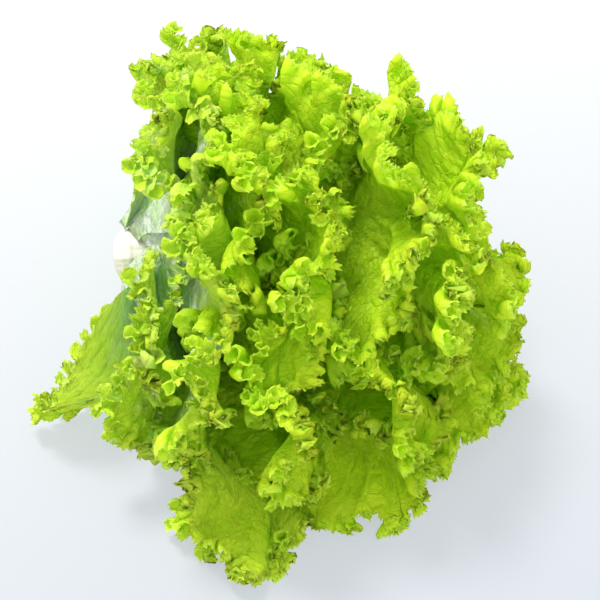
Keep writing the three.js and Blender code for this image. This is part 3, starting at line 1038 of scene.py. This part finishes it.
def stem_mesh(material):
    """Rings of points from the middle of the cut face out to its edge, and on along the side to the tip."""
    theta = np.arange(AROUND) * 2.0 * math.pi / AROUND
    knots = np.array(STEM_SIDE)
    face_r = np.linspace(1.2, 9.0, FACE_RINGS)
    side_z = knots[0, 0] + (knots[-1, 0] - knots[0, 0]) * np.linspace(0.0, 1.0, SIDE_RINGS) ** 1.3
    side_r = np.interp(side_z, knots[:, 0], knots[:, 1])
    side_r[1:-1] = np.convolve(side_r, [0.3, 0.4, 0.3], mode="valid")
    z = np.concatenate([np.full(FACE_RINGS, knots[0, 0]), side_z])[:, None] + 0.0 * theta
    r = np.concatenate([face_r, side_r])[:, None] + 0.0 * theta
    on_side = np.concatenate([np.zeros(FACE_RINGS), ease((side_z - side_z[0]) / 2.0)])[:, None]
    ribs = RIB_UP * np.sin(RIBS * theta + 0.9 * np.sin(3.0 * theta))
    ribs = ribs + LINE_UP * np.sin(LINES * theta + 1.0)
    r = r + on_side * ribs * np.minimum(1.0, r / 9.0)
    for k in range(SCARS):
        turn = (theta - k * GOLDEN_ANGLE + math.pi) % (2.0 * math.pi) - math.pi
        up = z - (knots[0, 0] + SCAR_FIRST + SCAR_STEP * k)
        ridge = np.exp(-((turn / 0.5) ** 2)) * np.exp(-(((up + 1.6 * turn * turn) / 0.8) ** 2))
        r = r + on_side * SCAR_UP * ridge
    # The knife leaves faint parallel lines and a slightly domed face.
    knife = 0.12 * np.sin(2.1 * r * np.cos(theta)) + 0.35 * (1.0 - (r / knots[0, 1]) ** 2)
    z = z - (1.0 - np.sign(on_side)) * knife
    rings = z[..., None] * AXIS + (r * np.cos(theta))[..., None] * UPWARD
    rings = rings + (r * np.sin(theta))[..., None] * AWAY + HEART
    rings[..., 2] += HEART_HEIGHT - SETTLED - HEART[2]
    ends = np.stack([rings[0].mean(0), rings[-1].mean(0) + 0.4 * AXIS])
    points = np.concatenate([rings.reshape(-1, 3), ends])
    count = len(z)
    row, col = np.meshgrid(np.arange(count - 1), np.arange(AROUND), indexing="ij")
    a = (row * AROUND + col).ravel()
    b = (row * AROUND + (col + 1) % AROUND).ravel()
    sides = np.concatenate([np.stack([a, b, b + AROUND], 1), np.stack([a, b + AROUND, a + AROUND], 1)])
    first = np.arange(AROUND)
    turned = (first + 1) % AROUND
    last = (count - 1) * AROUND
    cap = np.stack([np.full(AROUND, len(points) - 2), turned, first], 1)
    tip = np.stack([np.full(AROUND, len(points) - 1), last + first, last + turned], 1)
    piece = mesh_object("stem_flesh", points * MM, np.concatenate([sides, cap, tip]), material)
    # The last two points are on the axis, in the middle of the cut and at the tip.
    store(piece, "from_cut", np.concatenate([(z - knots[0, 0]).ravel(), [0.0, 44.0]]) * MM)
    store(piece, "radius", np.concatenate([r.ravel(), [0.0, 0.0]]) * MM)
    return piece


# %% [markdown]
# ### Stem flesh
#
# The stem is the same water-filled tissue as the midribs, with milky sap in it. Where the knife passed, the
# sap has dried to a pinkish brown, deepest in the ring of vessels just inside the skin. Away from the cut
# the flesh is cream, then greener towards the leaves, with fine fibres along the axis. It is wet, so it
# shines a little more than the leaves.

# %% The stem material


def stem_flesh():
    """White flesh, pinkish brown on the cut."""
    material = new_material("cut_stem_flesh")
    tree = material.node_tree
    from_cut = node(tree, "ShaderNodeAttribute", {"attribute_name": "from_cut"}, output="Fac")
    radius = node(tree, "ShaderNodeAttribute", {"attribute_name": "radius"}, output="Fac")
    where = node(tree, "ShaderNodeTexCoord", output="Object")
    grain = node(tree, "ShaderNodeMapping", {"Scale": (60.0, 420.0, 420.0)}, {"Vector": where}, "Vector")
    fibre = node(tree, "ShaderNodeTexNoise", {"Scale": 1.0, "Detail": 3.0}, {"Vector": grain}, "Fac")
    greener = node(tree, "ShaderNodeMapRange", {"interpolation_type": "SMOOTHSTEP", "From Min": 0.004,
                   "From Max": 0.022, "To Min": 0.0, "To Max": 0.7}, {"Value": from_cut})
    colour = node(tree, "ShaderNodeMix", {"data_type": "RGBA", 6: linear("#FCE9E6"), 7: linear("#F6F7E6")},
                  {0: greener}, 2)
    streak = node(tree, "ShaderNodeMapRange", {"interpolation_type": "SMOOTHSTEP", "From Min": 0.45,
                  "From Max": 0.68, "To Min": 0.0, "To Max": 0.35}, {"Value": fibre})
    colour = node(tree, "ShaderNodeMix", {"data_type": "RGBA", 7: linear("#DDE3B4")},
                  {0: streak, 6: colour}, 2)
    ring = node(tree, "ShaderNodeMath", {"operation": "SUBTRACT", 1: 0.0078}, {0: radius})
    ring = node(tree, "ShaderNodeMath", {"operation": "ABSOLUTE"}, {0: ring})
    ring = node(tree, "ShaderNodeMapRange", {"interpolation_type": "SMOOTHSTEP", "From Min": 0.0004,
                "From Max": 0.0024, "To Min": 0.75, "To Max": 0.25}, {"Value": ring})
    at_cut = node(tree, "ShaderNodeMapRange", {"interpolation_type": "SMOOTHSTEP", "From Min": 0.0,
                  "From Max": 0.0016, "To Min": 1.0, "To Max": 0.0}, {"Value": from_cut})
    sap = node(tree, "ShaderNodeMath", {"operation": "MULTIPLY"}, {0: ring, 1: at_cut})
    sap = node(tree, "ShaderNodeMath", {"operation": "MULTIPLY"}, {0: sap, 1: fibre})
    sap = node(tree, "ShaderNodeMath", {"operation": "MULTIPLY", 1: 1.6, "use_clamp": True}, {0: sap})
    colour = node(tree, "ShaderNodeMix", {"data_type": "RGBA", 7: linear("#B87C52")},
                  {0: sap, 6: colour}, 2)
    relief = node(tree, "ShaderNodeBump", {"Strength": 0.5, "Distance": 0.0005}, {"Height": fibre})
    wet = node(tree, "ShaderNodeBsdfPrincipled", {"Roughness": 0.38, "IOR": 1.4, "Specular IOR Level": 0.4},
               {"Base Color": colour, "Normal": relief})
    inner = node(tree, "ShaderNodeBsdfTranslucent", {}, {"Color": colour})
    both = node(tree, "ShaderNodeMixShader", {0: 0.12}, {1: wet, 2: inner})
    node(tree, "ShaderNodeOutputMaterial", {}, {"Surface": both}, None)
    return material


stem = stem_mesh(stem_flesh())
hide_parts("stem")
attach(stem, BODY)
print("stem points:", len(stem.data.vertices))

# %% [markdown]
# ## Camera, floor and light
#
# The camera looks down at 50 degrees, from far enough away that the near leaves don't swell. The head lies
# on a large pale table under a white dome, which lights the gaps between the leaves. One wide sun-like lamp,
# high behind the head on the left, shapes the curls. It could be a small hard lamp instead, but then each
# curl would throw a black shadow on the next.

# %% Camera
# The camera aims this far right of the heart and down in its own view, in millimetres.
AIM_RIGHT = 69.0
AIM_DOWN = 21.2
DISTANCE = 0.78
VIEW_ELEVATION = math.radians(50)
TOWARDS = np.array([0.0, -math.cos(VIEW_ELEVATION), math.sin(VIEW_ELEVATION)])
SCREEN_UP = np.array([0.0, math.sin(VIEW_ELEVATION), math.cos(VIEW_ELEVATION)])
target = (HEART + np.array([1.0, 0.0, 0.0]) * AIM_RIGHT - SCREEN_UP * AIM_DOWN) * MM
camera = bpy.data.objects.new("camera", bpy.data.cameras.new("camera"))
camera.data.sensor_width = 36.0
camera.data.lens = 101.7
camera.location = target + TOWARDS * DISTANCE
camera.rotation_euler = (math.pi / 2 - VIEW_ELEVATION, 0.0, 0.0)
bpy.context.collection.objects.link(camera)
bpy.context.scene.camera = camera
print("camera at", [round(value, 3) for value in camera.location], "m")

# %% Floor
FAR = 4.0
# Share of the table's look that is a painted glow rather than its own white, which leaves the rest of the
# shadow.
TABLE_PAINTED_GLOW = 0.72
floor_mesh = bpy.data.meshes.new("floor")
floor_mesh.from_pydata([(-FAR, -FAR, 0), (FAR, -FAR, 0), (FAR, FAR, 0), (-FAR, FAR, 0)], [], [(0, 1, 2, 3)])
floor = bpy.data.objects.new("floor", floor_mesh)
bpy.context.collection.objects.link(floor)
floor_material = new_material("white_table")
floor_tree = floor_material.node_tree
floor_skin = node(floor_tree, "ShaderNodeBsdfPrincipled",
                  {"Base Color": linear("#CDD1D6"), "Roughness": 0.7, "Specular IOR Level": 0.0})
# Seen by the camera, the table glows with painted light, so it is only partly in shadow, as on a lit
# studio table.
seen = node(floor_tree, "ShaderNodeLightPath", output="Is Camera Ray")
rays = seen.node.outputs
seen = node(floor_tree, "ShaderNodeMath", {"operation": "ADD"}, {0: seen, 1: rays["Is Glossy Ray"]})
seen = node(floor_tree, "ShaderNodeMath", {"operation": "ADD", "use_clamp": True},
            {0: seen, 1: rays["Is Transmission Ray"]})
share = node(floor_tree, "ShaderNodeMath", {"operation": "MULTIPLY", 1: TABLE_PAINTED_GLOW}, {0: seen})
# The lamp stands behind the head on the left, so a painted pool of light makes the table a little whiter
# there.
spot = node(floor_tree, "ShaderNodeNewGeometry", output="Position")
lit = node(floor_tree, "ShaderNodeVectorMath", {"operation": "DOT_PRODUCT", 1: (-0.3, 1.0, 0.0)},
           {0: spot}, "Value")
lit = node(floor_tree, "ShaderNodeMapRange", {"From Min": -0.3, "From Max": 0.25}, {"Value": lit})
pale = node(floor_tree, "ShaderNodeMix", {"data_type": "RGBA", 6: linear("#C1C8D3"), 7: linear("#FFFFFF")},
            {0: lit}, 2)
painted_lamp_glow = node(floor_tree, "ShaderNodeEmission", {"Strength": 1.0}, {"Color": pale})
table_top = node(floor_tree, "ShaderNodeMixShader", {}, {0: share, 1: floor_skin, 2: painted_lamp_glow})
node(floor_tree, "ShaderNodeOutputMaterial", {}, {"Surface": table_top}, None)
floor_mesh.materials.append(floor_material)
print("table:", 2.0 * FAR, "m wide")

# %% Light
# The strength of the lamp and of the white dome.
LAMP = 3.0
DOME = 1.18
window = bpy.data.lights.new("window", "SUN")
window.energy = LAMP
window.angle = math.radians(16)
holder = bpy.data.objects.new("window", window)
holder.rotation_euler = (math.radians(-22), math.radians(-15), 0.0)
bpy.context.collection.objects.link(holder)

world = bpy.data.worlds.new("studio")
bpy.context.scene.world = world
world.use_nodes = True
world.node_tree.nodes["Background"].inputs["Color"].default_value = linear("#FAFBFD")
world.node_tree.nodes["Background"].inputs["Strength"].default_value = DOME
bpy.context.scene.view_settings.view_transform = "Standard"
print("lamp", LAMP, "and dome", DOME)
